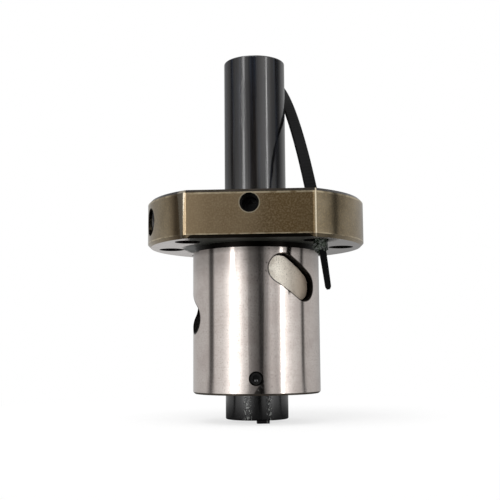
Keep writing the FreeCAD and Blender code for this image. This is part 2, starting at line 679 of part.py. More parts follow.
def make_mandrel():
    body = new_body("mandrel")
    sketch = new_sketch(body, "mandrel_profile", "XZ_Plane")
    top = "%s + dims.mandrel_length" % MANDREL_FOOT
    draw_outline(sketch, [
        ("dims.mandrel_bore_radius", MANDREL_FOOT),
        (MANDREL_RADIUS, MANDREL_FOOT),
        (MANDREL_RADIUS, top),
        ("dims.mandrel_bore_radius", top),
    ])
    tube = turned(body, "Revolution", "mandrel_tube", sketch)
    rounded = edge_treatment(
        body, "Fillet", "mandrel_ends", tube, "dims.mandrel_edge_radius",
        lambda edge: near(edge.BoundBox.ZLength, 0) and near(edge.BoundBox.XMax, size(MANDREL_RADIUS)),
    )
    body.Tip = rounded
    nib = new_sketch(body, "nib_outline", "XY_Plane", turn="dims.nib_angle", turn_axis=Vector(0, 0, 1))
    nib.setExpression("AttachmentOffset.Base.z", "%s - dims.nib_height" % MANDREL_FOOT)
    outer = "-(%s) + dims.nib_inset" % MANDREL_RADIUS
    inner = "-dims.mandrel_bore_radius - dims.nib_inset"
    draw_outline(nib, [
        ("-dims.nib_width / 2", outer),
        ("dims.nib_width / 2", outer),
        ("dims.nib_width / 2", inner),
        ("-dims.nib_width / 2", inner),
    ])
    body.Tip = extruded(body, "Pad", "nib", nib, "dims.nib_height + dims.nib_inset")
    return body


# Cable tie. Its strap has set in a curve of one radius, so strap, head and window are all turned about
# the curve's centre, which is the body's origin. Angles run up the strap from the level of that centre.

def make_cable_tie():
    body = new_body("cable_tie")
    degrees = " * 180 / pi / dims.tie_bend_radius"
    tip = "dims.tie_slope - dims.tie_tail" + degrees
    head = "dims.tie_slope + dims.tie_strap" + degrees
    upright = Vector(0, 1, 0)

    def section(name, angle, width, thickness, bevel):
        """A rectangle with bevelled corners, set at the curve's radius and turned up to an angle."""
        sketch = new_sketch(body, name, "XY_Plane", turn=angle, turn_axis=upright)
        corners = []
        for side, edge in (("-", "-"), ("+", "-"), ("+", ""), ("-", "")):
            flank = "-dims.tie_bend_radius %s ((%s) / 2 - %%s)" % (side, thickness)
            reach = "%s((%s) / 2 - %%s)" % (edge, width)
            pair = [(flank % 0, reach % bevel), (flank % bevel, reach % 0)]
            corners.extend(pair if side + edge in ("--", "+") else pair[::-1])
        draw_outline(sketch, corners)
        return sketch

    strap = section("strap_section", tip, "dims.tie_width", "dims.tie_thickness", "dims.tie_bevel")
    run = "(dims.tie_tail + dims.tie_strap + dims.head_length / 2)"
    turned(body, "Revolution", "strap", strap, run + degrees)
    block = section("head_section", head, "dims.head_width", "dims.head_thickness", "dims.head_chamfer")
    turned(body, "Revolution", "head", block, "dims.head_length" + degrees)
    middle = "%s + (dims.head_length - dims.window_length) / 2%s" % (head, degrees)
    window = section(
        "window_section", middle, "dims.window_width", "2 * dims.head_thickness", "dims.tie_bevel"
    )
    turned(body, "Groove", "window", window, "dims.window_length" + degrees)

    tip_height = "dims.tie_bend_radius * sin(%s)" % tip
    low = "%s - dims.tie_thickness" % tip_height
    narrow = "%s + dims.tail_length" % tip_height
    high = narrow + " + dims.tail_taper"
    cut = None
    for name, sign in (("left", "-"), ("right", "")):
        wedge = new_sketch(body, "taper_" + name, "YZ_Plane")
        draw_outline(wedge, [
            (sign + "dims.tail_tip_width / 4", low),
            (sign + "dims.tail_tip_width / 4", tip_height),
            (sign + "dims.tail_tip_width / 2", "%s + dims.tail_tip_width / 2" % tip_height),
            (sign + "dims.tail_width / 2", narrow),
            (sign + "dims.tie_width / 2", high),
            (sign + "dims.tie_width", high),
            (sign + "dims.tie_width", low),
        ])
        cut = extruded(body, "Pocket", "tail_" + name, wedge)
    body.Tip = cut

    heading, lean = math.radians(size("dims.tie_heading")), math.radians(size("dims.tie_lean"))
    along = Vector(math.cos(heading), math.sin(heading), 0)
    across = Vector(math.sin(heading), -math.cos(heading), 0)
    rise = Vector(0, 0, math.cos(lean)) - across * math.sin(lean)
    passing = Vector(
        size("%s + dims.tie_offset_x" % BOLT_X),
        size("-(%s) + dims.tie_offset_y" % BOLT_Y),
        size(PORT_HEIGHT),
    )
    radius, slope = size("dims.tie_bend_radius"), math.radians(size("dims.tie_slope"))
    centre = passing + along * radius * math.cos(slope) - rise * radius * math.sin(slope)
    body.Placement = Placement(centre, Rotation(size("dims.tie_heading"), 0, -size("dims.tie_lean")))
    return body


parts = [make_nut_body()]
for loop in range(CIRCUITS):
    parts.append(make_deflector(loop))
    parts.extend(make_balls(loop))
parts.append(make_wiper(
    "flange_wiper", "(dims.flange_thickness - dims.flange_seat_depth)", "dims.flange_seat_depth",
    "0", "dims.flange_screw_height", "dims.flange_screw_radius",
))
parts.append(make_wiper(
    "nose_wiper", "(-%s + dims.wiper_setback)" % BARREL_LENGTH, "dims.nose_seat_depth",
    "dims.nose_screw_angle", NOSE_SCREW_HEIGHT, "dims.nose_screw_radius",
))
parts.append(make_wiper_screw(
    "flange_wiper_screw", "0", "dims.flange_screw_height", "dims.flange_screw_radius",
    "dims.flange_screw_length",
))
parts.append(make_wiper_screw(
    "nose_wiper_screw", "dims.nose_screw_angle", NOSE_SCREW_HEIGHT, "dims.nose_screw_radius",
    "dims.nose_screw_length",
))
parts.append(make_mandrel())
parts.append(make_cable_tie())
document.recompute()

for item in document.Objects:
    if "Invalid" in item.State or "Error" in item.State:
        raise ValueError("%s failed: %s" % (item.Label, item.State))
    if item.TypeId.split("::")[-1] in ("Pocket", "Groove", "SubtractiveHelix"):
        if item.Shape.Volume >= item.BaseFeature.Shape.Volume - LEAST_CUT:
            raise ValueError("%s cuts nothing" % item.Label)

os.makedirs("parts", exist_ok=True)
for part in parts:
    shape = part.Shape
    if shape.isNull() or not shape.isValid() or len(shape.Solids) != 1:
        raise ValueError("%s is not one valid solid" % part.Label)
    shape.exportStep("parts/%s.step" % part.Label)
    print("%-20s %10.3f mm3" % (part.Label, shape.Volume))
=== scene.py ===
import json
import math

import bpy
import numpy as np
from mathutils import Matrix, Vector


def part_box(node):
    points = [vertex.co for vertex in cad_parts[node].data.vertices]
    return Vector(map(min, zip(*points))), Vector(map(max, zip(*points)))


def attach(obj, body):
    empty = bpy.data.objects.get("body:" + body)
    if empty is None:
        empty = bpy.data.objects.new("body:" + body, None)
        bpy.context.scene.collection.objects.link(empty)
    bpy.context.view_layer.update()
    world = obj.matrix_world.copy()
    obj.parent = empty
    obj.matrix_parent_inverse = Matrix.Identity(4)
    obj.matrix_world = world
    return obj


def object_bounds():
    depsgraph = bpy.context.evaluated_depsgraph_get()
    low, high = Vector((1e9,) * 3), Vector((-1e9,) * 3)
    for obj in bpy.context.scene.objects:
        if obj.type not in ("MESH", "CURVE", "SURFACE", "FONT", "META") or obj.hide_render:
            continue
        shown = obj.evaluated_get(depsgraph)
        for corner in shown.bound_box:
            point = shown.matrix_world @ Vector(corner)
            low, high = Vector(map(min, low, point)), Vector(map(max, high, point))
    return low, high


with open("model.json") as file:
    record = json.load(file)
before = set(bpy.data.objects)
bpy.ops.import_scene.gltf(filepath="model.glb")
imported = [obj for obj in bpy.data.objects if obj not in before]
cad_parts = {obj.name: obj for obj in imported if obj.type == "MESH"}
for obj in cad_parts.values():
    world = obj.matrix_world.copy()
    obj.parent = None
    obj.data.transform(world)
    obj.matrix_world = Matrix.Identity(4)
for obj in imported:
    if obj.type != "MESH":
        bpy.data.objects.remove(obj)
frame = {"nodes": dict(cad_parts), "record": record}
cad_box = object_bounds()


# Camera. The nut is photographed close up from a little to the right of its front flat and from
# below the flange, so that the mounting face shows above the barrel.
MM = 0.001
CAMERA_PLACE = (12.255 * MM, -196.064 * MM, -22.863 * MM)

# In degrees: how the camera is turned, and how far round to the right of the front flat it stands.
CAMERA_TURN = (96.539, 0.453, 4.004)
CAMERA_SIDE = 3.58

lens = bpy.data.cameras.new("camera")
lens.lens = 63.5
lens.sensor_width = 36
lens.clip_start = 10 * MM
camera = bpy.data.objects.new("camera", lens)
bpy.context.scene.collection.objects.link(camera)
camera.location = CAMERA_PLACE
camera.rotation_euler = [math.radians(angle) for angle in CAMERA_TURN]
bpy.context.scene.camera = camera
bpy.context.scene.view_settings.view_transform = "Standard"


# Light tent. White walls all round, with dark gaps beside the camera and at the two seams of the
# cloth, which is what the ground steel shows as upright bands. Two strip lamps stand in front, and
# a soft box hangs above them.
def add_node(tree, kind, sockets=None, **settings):
    """A shader node: its own settings, then a value or another node's output for each socket."""
    made = tree.nodes.new("ShaderNode" + kind)
    for name, value in settings.items():
        setattr(made, name, value)
    for name, value in (sockets or {}).items():
        if isinstance(value, bpy.types.NodeSocket):
            tree.links.new(value, made.inputs[name])
        else:
            made.inputs[name].default_value = value
    return made


def calc(tree, operation, *values):
    """One step of arithmetic on numbers."""
    return add_node(tree, "Math", dict(enumerate(values)), operation=operation).outputs[0]


def step_up(tree, value, low, high):
    """0 below low and 1 above high, with a smooth rise between; falling if low is the larger."""
    sockets = {"Value": value, "From Min": low, "From Max": high}
    return add_node(tree, "MapRange", sockets, interpolation_type="SMOOTHSTEP").outputs["Result"]


def both(tree, *values):
    """The product of masks, or of masks and a share: 1 only where all of them are."""
    product = values[0]
    for value in values[1:]:
        product = calc(tree, "MULTIPLY", product, value)
    return product


def either(tree, first, second):
    """The larger of two masks."""
    return calc(tree, "MAXIMUM", first, second)


def mix_colours(tree, amount, first, second):
    """The first colour where amount is 0 and the second where it is 1."""
    sockets = {0: amount, 6: first, 7: second}
    return add_node(tree, "Mix", sockets, data_type="RGBA").outputs[2]


def grey(level):
    """A colour that is the same in red, green and blue."""
    return (level, level, level, 1)


def ray_is(tree, *kinds):
    """1 for the named kinds of ray, such as Camera, and 0 for the rest."""
    path = add_node(tree, "LightPath")
    found = 0.0
    for kind in kinds:
        found = either(tree, path.outputs["Is %s Ray" % kind], found)
    return found


def cloth(tree, share, walls):
    """Brightness along one strip of cloth: pairs of a bearing in degrees and a level."""
    ramp = add_node(tree, "ValToRGB", {"Fac": share})
    elements = ramp.color_ramp.elements
    elements[0].position, elements[1].position = 0, 1
    for index, (degrees, level) in enumerate(walls):
        last = index == len(walls) - 1
        place = degrees / 360 + 0.5
        stop = elements[0] if index == 0 else elements[-1] if last else elements.new(place)
        stop.color = grey(level)
    return ramp.outputs[0]


def bearing_share(tree, x, y):
    """The compass bearing of a direction, from 0 to 1: 0.5 is towards the camera, more is right."""
    bearing = calc(tree, "ARCTAN2", x, calc(tree, "MULTIPLY", y, -1))
    turn = calc(tree, "DIVIDE", calc(tree, "SUBTRACT", bearing, math.radians(CAMERA_SIDE)), math.tau)
    return calc(tree, "FRACT", calc(tree, "ADD", turn, 0.5))


def lower_cloth(tree, share):
    """The strip of cloth at the height of the barrel, which shows in it."""
    walls = (
        (-180, 0.52), (-96, 0.58), (-91, 0.1), (-84, 0.08), (-80, 0.68), (-62, 0.86), (-55, 1.15),
        (-50, 1.5), (-45, 1.85), (-31, 1.85), (-25, 1.25), (-20, 0.82), (-12, 0.3), (-2, 0.16),
        (4, 0.1), (6, 0.02), (13, 0.02), (16, 0.25), (26, 0.7), (35, 0.55), (40, 0.65), (45, 1.4),
        (52, 1.55), (62, 0.98), (71, 0.78), (82, 0.6), (86, 0.55), (89, 0.08), (93, 0.08),
        (97, 0.58), (123, 0.55), (180, 0.33),
    )
    return cloth(tree, share, walls)


def upper_cloth(tree, share):
    """The strip above, which shows in the mandrel."""
    walls = (
        (-180, 0.4), (-105, 0.34), (-101, 0.03), (-93, 0.03), (-89, 0.25), (-77, 0.45),
        (-59, 0.62), (-52, 0.85), (-34, 0.8), (-26, 0.65), (-20, 0.28), (-13, 0.03), (5, 0.03),
        (10, 0.5), (20, 0.75), (36, 1.1), (50, 1.2), (57, 0.7), (70, 0.45), (82, 0.36),
        (86, 0.05), (99, 0.05), (106, 0.2), (115, 0.4), (131, 0.6), (180, 0.5),
    )
    return cloth(tree, share, walls)


def tent_walls(tree):
    """Brightness of the tent by direction: two strips of cloth and a roof."""
    direction = add_node(tree, "TexCoord").outputs["Generated"]
    x, y, z = add_node(tree, "SeparateXYZ", {0: direction}).outputs
    share = bearing_share(tree, x, y)
    seam = step_up(tree, z, 0.14, 0.2)
    walls = mix_colours(tree, seam, lower_cloth(tree, share), upper_cloth(tree, share))
    overhead = step_up(tree, calc(tree, "ABSOLUTE", z), 0.55, 0.8)
    return mix_colours(tree, overhead, walls, grey(0.75))


def light_tent():
    """The world: the cloth as metal sees it, white behind the nut, and an even light elsewhere."""
    world = bpy.data.worlds.new("light_tent")
    world.use_nodes = True
    tree = world.node_tree
    tree.nodes.clear()
    lit = mix_colours(tree, ray_is(tree, "Glossy"), grey(0.8), tent_walls(tree))
    shown = mix_colours(tree, ray_is(tree, "Camera", "Transmission"), lit, grey(1))
    background = add_node(tree, "Background", {"Color": shown})
    output = add_node(tree, "OutputWorld")
    tree.links.new(background.outputs[0], output.inputs[0])
    bpy.context.scene.world = world


def add_lamp(name, bearing, distance, height, wide, tall, power):
    """An area lamp at a bearing round the nut, in metres, aimed at the top of the barrel."""
    lamp = bpy.data.lights.new(name, "AREA")
    lamp.shape = "RECTANGLE"
    lamp.size, lamp.size_y = wide, tall
    lamp.energy = power
    stand = bpy.data.objects.new(name, lamp)
    bpy.context.scene.collection.objects.link(stand)
    angle = math.radians(bearing + CAMERA_SIDE)
    stand.location = (distance * math.sin(angle), -distance * math.cos(angle), height)
    stand.rotation_euler = (-stand.location).to_track_quat("-Z", "Y").to_euler()
    stand.visible_camera = False


light_tent()
add_lamp("strip_left", bearing=-42, distance=0.6, height=0.02, wide=0.07, tall=0.7, power=0.5)
add_lamp("strip_right", bearing=46, distance=0.6, height=0.02, wide=0.05, tall=0.7, power=0.5)
add_lamp("top_light", bearing=-25, distance=0.35, height=0.75, wide=0.5, tall=0.5, power=3.5)


# Floor. A pale board that the mandrel's foot stands on. It keeps a faint shadow under the nut and
# shades off into the white of the tent.
def new_piece(name, points, faces):
    """An object at the origin with its place in its mesh."""
    mesh = bpy.data.meshes.new(name)
    mesh.from_pydata(points.tolist(), [], faces)
    piece = bpy.data.objects.new(name, mesh)
    bpy.context.scene.collection.objects.link(piece)
    return piece


def measure(tree, operation, *vectors):
    """One number worked out from vectors, such as LENGTH, DISTANCE or DOT_PRODUCT."""
    made = add_node(tree, "VectorMath", dict(enumerate(vectors)), operation=operation)
    return made.outputs["Value"]


def pale_board(shadow, white_from, thinned):
    """Board inside the shadow's radius, white outside white_from; what the eye sees is thinned.

    Beside its foot the nut sees a painted shade in the board, and further off the tent's cloth.
    """
    material = bpy.data.materials.new("pale_floor")
    material.use_nodes = True
    tree = material.node_tree
    tree.nodes.clear()
    place = add_node(tree, "TexCoord").outputs["Object"]
    fade = step_up(tree, measure(tree, "LENGTH", place), shadow, white_from)
    faded = both(tree, fade, ray_is(tree, "Camera", "Glossy", "Transmission"))
    amount = either(tree, faded, both(tree, ray_is(tree, "Camera", "Transmission"), thinned))
    mirrored = ray_is(tree, "Glossy")
    # Painted shade: near the foot the board shows dark in reflections.
    near = mix_colours(tree, mirrored, grey(0.9), grey(0.07))
    x, y, _ = add_node(tree, "SeparateXYZ", {0: place}).outputs
    far = mix_colours(tree, mirrored, grey(1), lower_cloth(tree, bearing_share(tree, x, y)))
    board = add_node(tree, "BsdfDiffuse", {"Color": near})
    white = add_node(tree, "Emission", {"Color": far, "Strength": 1.0})
    mixed = add_node(tree, "MixShader", {0: amount, 1: board.outputs[0], 2: white.outputs[0]})
    output = add_node(tree, "OutputMaterial")
    tree.links.new(mixed.outputs[0], output.inputs[0])
    return material


def make_floor(radius, rings=24, spokes=96):
    """A flat disc: rings of points at even steps of radius and of angle."""
    height = cad_box[0][2]
    out, turn = np.meshgrid(np.linspace(0, radius, rings), np.linspace(0, math.tau, spokes, False))
    level = np.full(out.size, height)
    points = np.column_stack([(out * np.cos(turn)).ravel(), (out * np.sin(turn)).ravel(), level])
    spoke, ring = np.meshgrid(np.arange(spokes), np.arange(rings - 1), indexing="ij")
    start, over = spoke * rings + ring, (spoke + 1) % spokes * rings + ring
    faces = np.stack([start, start + 1, over + 1, over], axis=-1).reshape(-1, 4)
    return new_piece("floor", points, faces.tolist())


floor = make_floor(radius=0.19)
floor.data.materials.append(pale_board(shadow=0.03, white_from=0.114, thinned=0.7))


# Nut body. One piece of bearing steel: the barrel, the mounting face and the flange's free face
# are ground bright, the flange's edge keeps the bronze tint of its heat treatment, and the slots,
# the holes and the bore stay dark.
mounts = {mount["name"]: mount for mount in frame["record"]["mounts"]}
nut_low, nut_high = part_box("nut_body")
NOSE, FREE_FACE = nut_low[2], nut_high[2]
FLAT = nut_high[1]
FLANGE_RADIUS = 24 * MM
FLAT_END = math.sqrt(FLANGE_RADIUS**2 - FLAT**2)
BARREL_RADIUS = mounts["barrel"]["dims"]["r_mm"] * MM
RELIEF_HEIGHT = 1.2 * MM
WIPER_SEAT_RADIUS = 10.3 * MM
SCREW_HOLE_RADIUS = 2 * MM

# The slots follow the ball track: the first is to the right of the front flat, and each of the
# others is a third of a turn back and a lead and a third down. All of them fall to the right.
CIRCUITS = 3
LEAD = 5 * MM
SLOT_LENGTH, SLOT_WIDTH = 12.8 * MM, 6.35 * MM
SLOT_SLANT = math.radians(33)
FIRST_SLOT_TURN = math.radians(39.3)
FIRST_SLOT_DROP = 7.45 * MM


def paint(red, green, blue):
    """A colour written as 0 to 255 in each of red, green and blue."""
    levels = [(part / 255 + 0.055) / 1.055 for part in (red, green, blue)]
    return tuple(level**2.4 for level in levels) + (1,)


def middle_of(node):
    """The middle of a node's box."""
    low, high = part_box(node)
    return (Vector(low) + Vector(high)) / 2


def new_finish(name, **sockets):
    """A material, its node tree, its surface shader with the given sockets set, and the place."""
    material = bpy.data.materials.new(name)
    material.use_nodes = True
    tree = material.node_tree
    surface = tree.nodes["Principled BSDF"]
    for socket, value in sockets.items():
        surface.inputs[socket.replace("_", " ")].default_value = value
    return material, tree, surface, add_node(tree, "TexCoord").outputs["Object"]


def finish_off(tree, surface, colour, rough=None, height=None, bump=0.0, depth=0.0):
    """Connect a colour and, where given, a roughness and a bump of some strength and depth."""
    tree.links.new(colour, surface.inputs["Base Color"])
    if rough is not None:
        tree.links.new(rough, surface.inputs["Roughness"])
    if height is not None:
        relief = add_node(tree, "Bump", {"Strength": bump, "Distance": depth, "Height": height})
        tree.links.new(relief.outputs[0], surface.inputs["Normal"])


def dress(node, material):
    """Give a CAD node its finish."""
    slots = frame["nodes"][node].data.materials
    slots.clear()
    slots.append(material)


def total(tree, *values):
    """The sum of numbers."""
    added = values[0]
    for value in values[1:]:
        added = calc(tree, "ADD", added, value)
    return added


def less(tree, value, amount):
    """A number less another; 1 less a mask is where the mask isn't."""
    return calc(tree, "SUBTRACT", value, amount)


def vector_calc(tree, operation, *vectors):
    """One step of arithmetic on vectors."""
    return add_node(tree, "VectorMath", dict(enumerate(vectors)), operation=operation).outputs[0]


def speckle(tree, vector, scale, detail=2.0, roughness=0.5):
    """Cloudy noise from 0 to 1 over a vector."""
    sockets = {"Vector": vector, "Scale": scale, "Detail": detail, "Roughness": roughness}
    return add_node(tree, "TexNoise", sockets).outputs["Fac"]


def drawn_out(tree, where, scales, roughness=0.6):
    """Noise with its own scale along each axis, so that it is drawn out along the smallest."""
    return speckle(tree, vector_calc(tree, "MULTIPLY", where, scales), 1.0, 3.0, roughness)


def between(tree, value, low, high, soft):
    """1 from low to high, fading to 0 over the soft width outside."""
    return both(tree, step_up(tree, value, low - soft, low), step_up(tree, value, high + soft, high))


def lay_over(tree, colour, *layers):
    """A colour with others laid over it in turn, each a mask and a paint."""
    for mask, cover in layers:
        colour = mix_colours(tree, mask, colour, cover)
    return colour


def slot_place(tree, where, circuit):
    """Where a point lies at a deflector's slot: along it, across it and out from the axis."""
    turn = FIRST_SLOT_TURN - circuit * math.tau / CIRCUITS
    drop = FIRST_SLOT_DROP + circuit * LEAD * (1 + 1 / CIRCUITS)
    right, up = Vector((math.cos(turn), math.sin(turn), 0)), Vector((0, 0, 1))
    directions = (
        right * math.cos(SLOT_SLANT) - up * math.sin(SLOT_SLANT),
        right * math.sin(SLOT_SLANT) + up * math.cos(SLOT_SLANT),
        Vector((math.sin(turn), -math.cos(turn), 0)),
    )
    offset = vector_calc(tree, "SUBTRACT", where, (0, 0, -drop))
    return [measure(tree, "DOT_PRODUCT", offset, direction) for direction in directions]


def slot_edge(tree, along, across):
    """Distance out from the outline of a slot, a straight middle with round ends."""
    straight = (SLOT_LENGTH - SLOT_WIDTH) / 2
    past = calc(tree, "MAXIMUM", less(tree, calc(tree, "ABSOLUTE", along), straight), 0.0)
    square = total(tree, calc(tree, "POWER", past, 2.0), calc(tree, "POWER", across, 2.0))
    return less(tree, calc(tree, "SQRT", square), SLOT_WIDTH / 2)


def nut_zones(tree, where):
    """Masks of the nut's faces, from where a point lies and which way its face looks."""
    normal = where.node.outputs["Normal"]
    x, y, z = add_node(tree, "SeparateXYZ", {0: where}).outputs
    upright = calc(tree, "ABSOLUTE", add_node(tree, "SeparateXYZ", {0: normal}).outputs[2])
    level, steep = step_up(tree, upright, 0.9, 0.97), step_up(tree, upright, 0.97, 0.9)
    flat_place = vector_calc(tree, "MULTIPLY", where, (1, 1, 0))
    radius = measure(tree, "LENGTH", flat_place)
    faces_out = measure(tree, "DOT_PRODUCT", vector_calc(tree, "NORMALIZE", flat_place), normal)
    depth = calc(tree, "ABSOLUTE", y)
    on_rim = both(
        tree, step_up(tree, radius, FLANGE_RADIUS - 0.72 * MM, FLANGE_RADIUS - 0.68 * MM),
        step_up(tree, depth, FLAT - 0.02 * MM, FLAT - 0.06 * MM),
    )
    at_edge = either(tree, step_up(tree, depth, FLAT - 0.7 * MM, FLAT - 0.66 * MM), on_rim)
    barrel = both(
        tree, step_up(tree, z, 0.05 * MM - RELIEF_HEIGHT, -RELIEF_HEIGHT),
        step_up(tree, faces_out, 0.9, 0.97),
        step_up(tree, radius, BARREL_RADIUS - 0.1 * MM, BARREL_RADIUS - 0.05 * MM),
    )
    outside_seat = step_up(tree, radius, WIPER_SEAT_RADIUS - 0.1 * MM, WIPER_SEAT_RADIUS + 0.05 * MM)
    level_face = both(tree, level, outside_seat)
    nose_end = step_up(tree, z, NOSE + 0.45 * MM, NOSE + 0.38 * MM)
    return dict(
        x=x, y=y, z=z, where=where, radius=radius, flat_place=flat_place, on_rim=on_rim,
        at_edge=at_edge, flange_edge=both(tree, at_edge, steep),
        chamfer=both(tree, at_edge, between(tree, upright, 0.45, 0.9, 0.1)),
        barrel=barrel, level_face=level_face, nose_edge=both(tree, nose_end, steep),
        bright=both(tree, either(tree, barrel, level_face), less(tree, 1.0, nose_end)),
    )


def corner_highlights(tree, zones):
    """Painted highlights at the front flat's ends: a ragged pale line and a bright chamfer left, a
    line right.
    """
    x = zones["x"]
    in_front = step_up(tree, zones["y"], 1.6 * MM - FLAT, 1.3 * MM - FLAT)
    front = both(tree, in_front, zones["at_edge"])
    grit_and_glints = drawn_out(tree, zones["where"], (60, 60, 4500), 0.7)
    ragged = both(tree, zones["z"], both(tree, grit_and_glints, 0.13))
    left_line = both(
        tree, step_up(tree, less(tree, x, ragged), -FLAT_END - 0.45 * MM, -FLAT_END - 0.63 * MM),
        step_up(tree, total(tree, x, ragged), -FLAT_END - 1.03 * MM, -FLAT_END - 0.83 * MM),
    )
    left_chamfer = between(tree, x, -FLAT_END - 0.43 * MM, 0.15 * MM - FLAT_END, 0.1 * MM)
    right_line = between(tree, x, FLAT_END + 0.11 * MM, FLAT_END + 0.31 * MM, 0.08 * MM)
    return (
        (both(tree, front, left_chamfer), paint(136, 121, 98)),
        (both(tree, front, left_line), paint(168, 158, 140)),
        (both(tree, front, right_line), paint(236, 222, 196)),
    )


def screw_hole_marks(tree, zones):
    """The bright countersink of the wiper screw's hole in the front flat, and painted shade inside
    it.
    """
    in_flat = vector_calc(tree, "MULTIPLY", zones["where"], (1, 0, 1))
    away = measure(tree, "DISTANCE", in_flat, (0, 0, middle_of("flange_wiper_screw").z))
    inner, outer = SCREW_HOLE_RADIUS - 0.02 * MM, SCREW_HOLE_RADIUS + 0.18 * MM
    countersink = both(
        tree, between(tree, away, inner, outer, 0.05 * MM),
        step_up(tree, zones["y"], 0.1 * MM - FLAT, 0.03 * MM - FLAT), 0.6,
    )
    shaded_inside = both(
        tree, step_up(tree, away, SCREW_HOLE_RADIUS + 0.02 * MM, SCREW_HOLE_RADIUS - 0.02 * MM),
        step_up(tree, zones["y"], -9 * MM, -10 * MM),
    )
    return (countersink, paint(206, 196, 172)), (shaded_inside, paint(10, 10, 10))


def bronze_tint(tree, zones, mottle, fine):
    """The flange's edge: mottled and greyer on the rims, with painted light, highlights and
    reflections.
    """
    x, z = zones["x"], zones["z"]
    clouds = step_up(tree, mottle, 0.3, 0.7)
    flat_colour = mix_colours(tree, clouds, paint(134, 115, 88), paint(112, 93, 67))
    rim_colour = mix_colours(tree, clouds, paint(160, 146, 122), paint(142, 128, 104))
    # Painted light: paler at the left and in the middle, and a painted orange shade at the right.
    lit_left_side = both(tree, step_up(tree, x, -3 * MM, -13 * MM), step_up(tree, x, -20 * MM, -12 * MM))
    lit_middle = both(tree, between(tree, x, -8 * MM, -1 * MM, 5 * MM), 0.5)
    shaded_right_side = both(tree, step_up(tree, x, 1 * MM, 8 * MM), step_up(tree, x, 14 * MM, 13 * MM))
    # Painted highlights: pale lines along the flange's edges above and below, broken up in patches.
    edge_lines = either(
        tree, between(tree, z, 0.66 * MM, 0.84 * MM, 0.08 * MM),
        between(tree, z, FREE_FACE - 0.94 * MM, FREE_FACE - 0.66 * MM, 0.14 * MM),
    )
    edge_highlights = both(tree, edge_lines, step_up(tree, speckle(tree, zones["where"], 700), 0.25, 0.6))
    # A painted dark reflection: a brown band on the left rim beside the corner.
    dark_reflection_left = both(
        tree, zones["on_rim"], step_up(tree, x, -17.5 * MM, -14.8 * MM),
        step_up(tree, x, -13 * MM, -13.4 * MM),
    )
    under_rim = both(tree, zones["on_rim"], step_up(tree, z, 1 * MM, 0.8 * MM))
    return lay_over(
        tree, mix_colours(tree, zones["on_rim"], flat_colour, rim_colour),
        (both(tree, either(tree, lit_left_side, lit_middle), 0.5), paint(190, 168, 136)),
        (both(tree, shaded_right_side, 0.5), paint(122, 98, 60)),
        (both(tree, step_up(tree, fine, 0.4, 0.75), 0.5), paint(184, 164, 130)),
        (edge_highlights, paint(205, 190, 160)),
        (both(tree, dark_reflection_left, 0.6), paint(104, 82, 58)),
        # The chamfers, all but the rim's lower one, are painted dark: a painted reflection.
        (both(tree, zones["chamfer"], less(tree, 1.0, under_rim)), paint(40, 35, 29)),
        *corner_highlights(tree, zones),
        *screw_hole_marks(tree, zones),
    )


def grease_and_shade_on_barrel(tree, zones):
    """Painted shade under the flange, a run of grease with painted glints beside the nose screw, and
    dots above it.
    """
    x, z, where = zones["x"], zones["z"], zones["where"]
    on_front = step_up(tree, zones["y"], 0, -1 * MM)
    shade_under_flange = total(
        tree, both(tree, step_up(tree, z, -9 * MM, -2.4 * MM), 0.38),
        both(tree, step_up(tree, z, -2.6 * MM, -1.5 * MM), 0.22),
    )
    run = both(
        tree, step_up(tree, less(tree, x, both(tree, z, 0.68)), 21.5 * MM, 21.9 * MM),
        step_up(tree, x, 2.45 * MM, 2.2 * MM), step_up(tree, z, -28.2 * MM, -28.8 * MM), on_front,
    )
    # Painted glints on the run of grease.
    run_glints = step_up(tree, speckle(tree, where, 2100, 2.0), 0.54, 0.62)
    dots = both(
        tree, between(tree, x, 1 * MM, 6 * MM, 2 * MM), step_up(tree, z, -16 * MM, -6 * MM),
        on_front, step_up(tree, speckle(tree, where, 2900, 1.0), 0.68, 0.74),
    )
    return (
        (both(tree, shade_under_flange, zones["barrel"]), paint(20, 19, 18)),
        (both(tree, run, 0.85), paint(70, 67, 63)),
        (both(tree, run, run_glints), paint(215, 210, 204)),
        (dots, paint(60, 55, 50)),
    )


def face_dirt_and_shade(tree, zones, mottle):
    """Painted shade on the mounting face round the barrel and along the front, and grease round the
    tie's hole.
    """
    ragged = both(tree, less(tree, mottle, 0.5), 5 * MM)
    front = both(
        tree, step_up(tree, total(tree, zones["y"], ragged), -7 * MM, -10 * MM),
        step_up(tree, total(tree, calc(tree, "ABSOLUTE", zones["x"]), ragged), 14 * MM, 12 * MM),
    )
    round_barrel = step_up(tree, total(tree, zones["radius"], ragged), 17 * MM, 15.7 * MM)
    from_tie = measure(tree, "DISTANCE", zones["flat_place"], (14 * MM, -13.4 * MM, 0))
    smear = step_up(tree, total(tree, from_tie, ragged), 4.2 * MM, 2.8 * MM)
    dirt_and_shade = either(tree, either(tree, front, round_barrel), both(tree, smear, 0.8))
    on_mounting_face = step_up(tree, calc(tree, "ABSOLUTE", zones["z"]), 0.3 * MM, 0.1 * MM)
    return both(tree, dirt_and_shade, zones["level_face"], on_mounting_face)


def slot_lips(tree, where):
    """A thin dark line of old grease along the edge of each slot."""
    lips = []
    for circuit in range(CIRCUITS):
        along, across, out = slot_place(tree, where, circuit)
        line = between(tree, slot_edge(tree, along, across), 0, 0.14 * MM, 0.1 * MM)
        outside = step_up(tree, out, 6 * MM, 8 * MM)
        lips.append((both(tree, line, outside, 0.95), paint(36, 30, 24)))
    return lips


